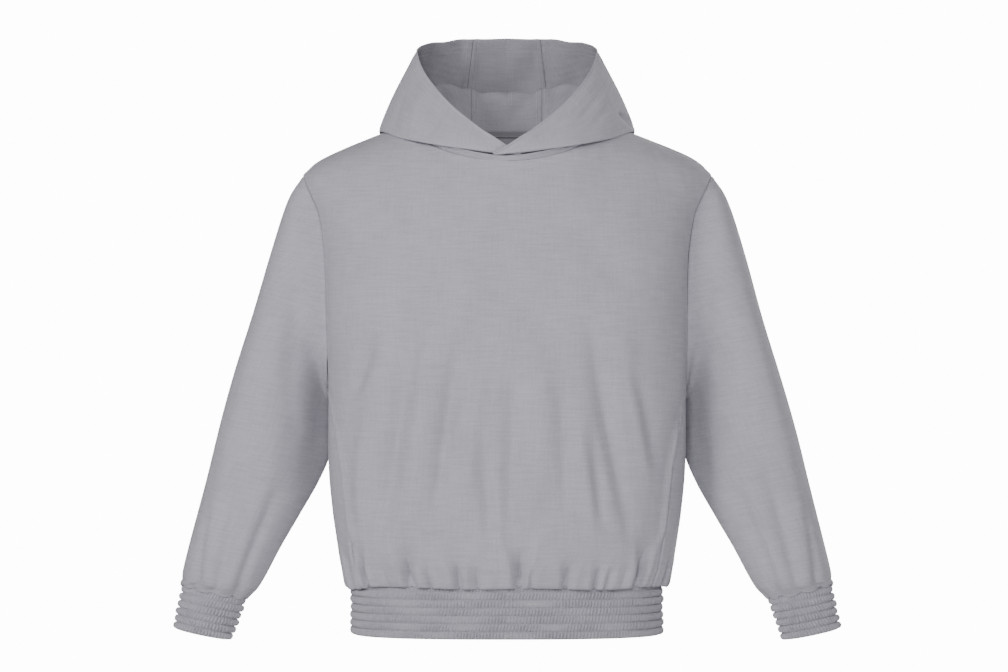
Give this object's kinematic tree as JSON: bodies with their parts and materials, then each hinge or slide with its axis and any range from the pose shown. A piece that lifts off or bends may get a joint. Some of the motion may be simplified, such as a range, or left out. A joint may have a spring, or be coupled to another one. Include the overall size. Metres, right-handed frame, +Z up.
{
  "type": "pullover hoodie",
  "caption": "Boxy fleece pullover with a standing hood that crosses at the throat, in-seam side pockets, full sleeves and a shirred hem and cuffs, filled out as if worn.",
  "frame": {"origin": "middle of the neck opening, where the garment rests on the base of the wearer's neck", "axes": "+Z up, -Y the way the front faces, +X towards the wearer's left sleeve"},
  "size_m": [0.8898, 0.3092, 0.8146],
  "materials": {
    "fleece": "brushed",
    "hood_fleece": "brushed",
    "shirred_fleece": "brushed",
    "tape": "matt",
    "pocketing": "matt"
  },
  "bodies": {
    "root": {"front": "fleece", "back": "fleece", "sleeve_left": "fleece", "sleeve_right": "fleece", "cuff_left": "shirred_fleece", "cuff_right": "shirred_fleece", "hem_band": "shirred_fleece", "hood_side_left": "hood_fleece", "hood_side_right": "hood_fleece", "hood_centre": "hood_fleece", "neck_tape": "tape", "pocket_bag_left": "pocketing", "pocket_bag_right": "pocketing"}
  },
  "joints": []
}
